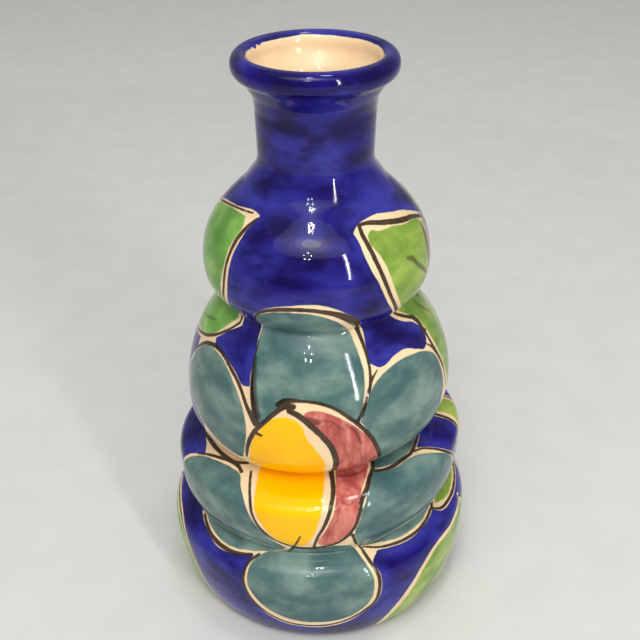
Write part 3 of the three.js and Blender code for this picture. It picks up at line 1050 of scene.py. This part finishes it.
def painted_glaze():
    """The outer glaze: cream, then the cobalt ground round the motifs, the colours, and the brush lines."""
    material, tree, shader = new_material("painted_glaze", Specular_IOR_Level=GLAZE_SPECULAR)
    broad = between(tree, noise(tree, 9, 1), 0.2, 0.8, -0.22, 0.22)
    fine = between(tree, noise(tree, 3, 2, offset=4), 0.2, 0.8, -0.1, 0.1)
    wobble = calculate(tree, "ADD", broad, fine)

    ground = between(tree, painted(tree, "cream", wobble), -0.3, 0.1, 1, 0)
    colour = blend(tree, ground, cream_colour(tree), cobalt_colour(tree))
    fields = (
        ("teal", washed_colour(tree, TEAL_DARK, TEAL, TEAL_LIGHT, 12, (1.4, 1.4, 0.8), 0.6, 1)),
        ("green", washed_colour(tree, GREEN_DARK, GREEN, GREEN_LIGHT, 10, (1.8, 1.8, 0.6), 0.8, 2)),
        ("lime", washed_colour(tree, LIME_DARK, LIME, LIME_LIGHT, 11, (1.8, 1.8, 0.6), -0.6, 6)),
        ("yellow", washed_colour(tree, YELLOW_DARK, YELLOW, YELLOW, 20, (1, 1, 1), 0, 3)),
        ("pink", washed_colour(tree, PINK_DARK, PINK, PINK_LIGHT, 6, (0.5, 0.5, 2.4), -0.25, 4)),
    )
    for layer, paint in fields:
        cover = between(tree, painted(tree, layer, wobble), -0.25, 0.35)
        colour = blend(tree, cover, colour, paint)

    wash = between(tree, painted(tree, "wash", fine), -0.4, 0.9, 0, 0.85)
    shaded = blend(tree, wash, colour, WASH_TINT, "MULTIPLY")

    brush = between(tree, noise(tree, 5, 3, offset=7), 0.35, 0.7)
    line_colour = blend(tree, brush, LINE_DARK, LINE_THIN)
    line = between(tree, painted(tree, "line", fine), -0.2, 0.2, 0, 0.96)
    tree.links.new(blend(tree, line, shaded, line_colour), shader.inputs["Base Color"])
    glossy_surface(tree, shader, 0.045, 0.1)
    return material


def plain_glaze():
    """The cream glaze inside, with a few specks of iron."""
    material, tree, shader = new_material("plain_glaze", Specular_IOR_Level=GLAZE_SPECULAR)
    specks = between(tree, noise(tree, 1.6, 1, offset=9), 0.76, 0.8, 0, 0.5)
    colour = blend(tree, specks, cream_colour(tree), LINE_THIN)
    tree.links.new(colour, shader.inputs["Base Color"])
    glossy_surface(tree, shader, 0.1, 0.2)
    return material


def bare_clay():
    """Unglazed earthenware: sandy, matt and a little stained."""
    material, tree, shader = new_material("bare_clay")
    stain = between(tree, noise(tree, 16, 4), 0.3, 0.7)
    grains = between(tree, noise(tree, 0.9, 2, offset=2), 0.35, 0.65)
    body = blend(tree, stain, CLAY_DARK, CLAY)
    sandy = blend(tree, calculate(tree, "MULTIPLY", grains, 0.35), body, CLAY_PALE)
    tree.links.new(sandy, shader.inputs["Base Color"])
    tree.links.new(between(tree, grains, 0, 1, 0.78, 0.95), shader.inputs["Roughness"])
    add_bump(tree, shader, grains, 0.5, 0.15)
    return material


def floor_paper():
    material, tree, shader = new_material("floor_paper", Roughness=0.9)
    fibres = between(tree, noise(tree, 30, 3), 0.3, 0.7)
    tree.links.new(blend(tree, fibres, PAPER_DARK, PAPER), shader.inputs["Base Color"])
    return material


# ---- the studio

def make_camera():
    data = bpy.data.cameras.new("camera")
    data.lens = CAMERA_LENS
    data.sensor_width = SENSOR
    camera = bpy.data.objects.new("camera", data)
    place = Matrix.Translation((CAMERA_ASIDE * HEIGHT, -CAMERA_AWAY * HEIGHT, CAMERA_UP * HEIGHT))
    pitch = Matrix.Rotation(math.pi / 2 - CAMERA_PITCH, 4, "X")
    camera.matrix_world = place @ pitch @ Matrix.Rotation(CAMERA_ROLL, 4, "Z")
    bpy.context.scene.collection.objects.link(camera)
    bpy.context.scene.camera = camera


def make_light(name, aside, up, away, size, power, shape="DISK", tall=0):
    """A soft light that looks at the vase. Its angles are to the right of the front, and up."""
    data = bpy.data.lights.new(name, "AREA")
    data.shape = shape
    data.size = size
    data.size_y = tall or size
    data.energy = power
    lamp = bpy.data.objects.new(name, data)
    turn, rise = math.radians(aside), math.radians(up)
    direction = Vector((math.sin(turn) * math.cos(rise), -math.cos(turn) * math.cos(rise), math.sin(rise)))
    middle = Vector((0, 0, HEIGHT * 0.6))
    lamp.location = middle + away * direction
    lamp.rotation_euler = direction.to_track_quat("Z", "Y").to_euler()
    bpy.context.scene.collection.objects.link(lamp)


def make_lights():
    """A lamp in a broad soft shade with two clusters of bulbs, a tall strip, and soft fills."""
    for ring in range(SHADE_RINGS):
        across = SHADE_SMALLEST + SHADE_STEP * ring
        power = SHADE_POWER * across ** 0.5
        make_light(f"shade_{ring}", -8, 52, 1.28, across, power, "ELLIPSE", SHADE_FLATNESS * across)
    for cluster_rise, tall in ((39, BULB_SPREAD), (63, 1.2)):
        for bulb in range(BULBS):
            turn = math.radians(bulb * 360 / BULBS)
            aside = BULB_ASIDE + BULB_SPREAD * math.sin(turn)
            rise = cluster_rise + tall * math.cos(turn)
            make_light(f"bulb_{cluster_rise}_{bulb}", aside, rise, 1.2, 0.022, 0.2)
    make_light("strip", aside=31, up=21, away=1.3, size=0.045, power=6, shape="RECTANGLE", tall=0.8)
    make_light("top_lamp", aside=60, up=81, away=1.2, size=0.18, power=1.6)
    make_light("rear_fill", aside=180, up=55, away=1.8, size=1.6, power=3)
    make_light("high_left", aside=-60, up=70, away=6, size=6, power=24)
    make_light("high_right", aside=100, up=70, away=6, size=6, power=24)
    world = bpy.data.worlds.new("studio")
    world.use_nodes = True
    background = world.node_tree.nodes["Background"]
    background.inputs["Color"].default_value = WORLD_TINT
    background.inputs["Strength"].default_value = WORLD_STRENGTH
    bpy.context.scene.world = world


def make_floor():
    mesh = bpy.data.meshes.new("floor")
    body = bmesh.new()
    bmesh.ops.create_grid(body, x_segments=8, y_segments=8, size=FLOOR_REACH)
    body.to_mesh(mesh)
    body.free()
    floor = bpy.data.objects.new("floor", mesh)
    mesh.materials.append(floor_paper())
    bpy.context.scene.collection.objects.link(floor)
    floor.location.z = CAD_BOX[0].z - FLOOR_DROP


# ---- the vase

def finish_piece(piece, material, slot, *nodes):
    piece.data.materials.append(material)
    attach(piece, "root")
    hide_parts(*nodes)


def make_vase():
    painted_material, plain_material, clay = painted_glaze(), plain_glaze(), bare_clay()
    for skin in outer_glaze():
        finish_piece(skin, painted_material, "outer_glaze", "outer_glaze")
    for skin in inner_glaze():
        finish_piece(skin, plain_material, "inner_glaze", "inner_glaze")
    finish_piece(foot_ring(), clay, "clay", "foot_ring")
    finish_piece(floor_slab(), clay, "clay", "floor_slab")
    for name in ("belly_ring", "third_ring", "second_ring", "shoulder_bulb", "neck", "rolled_rim"):
        for material_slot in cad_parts[name].material_slots:
            material_slot.material = clay


make_camera()
make_lights()
make_floor()
make_vase()
bpy.context.scene.view_settings.view_transform = "Standard"
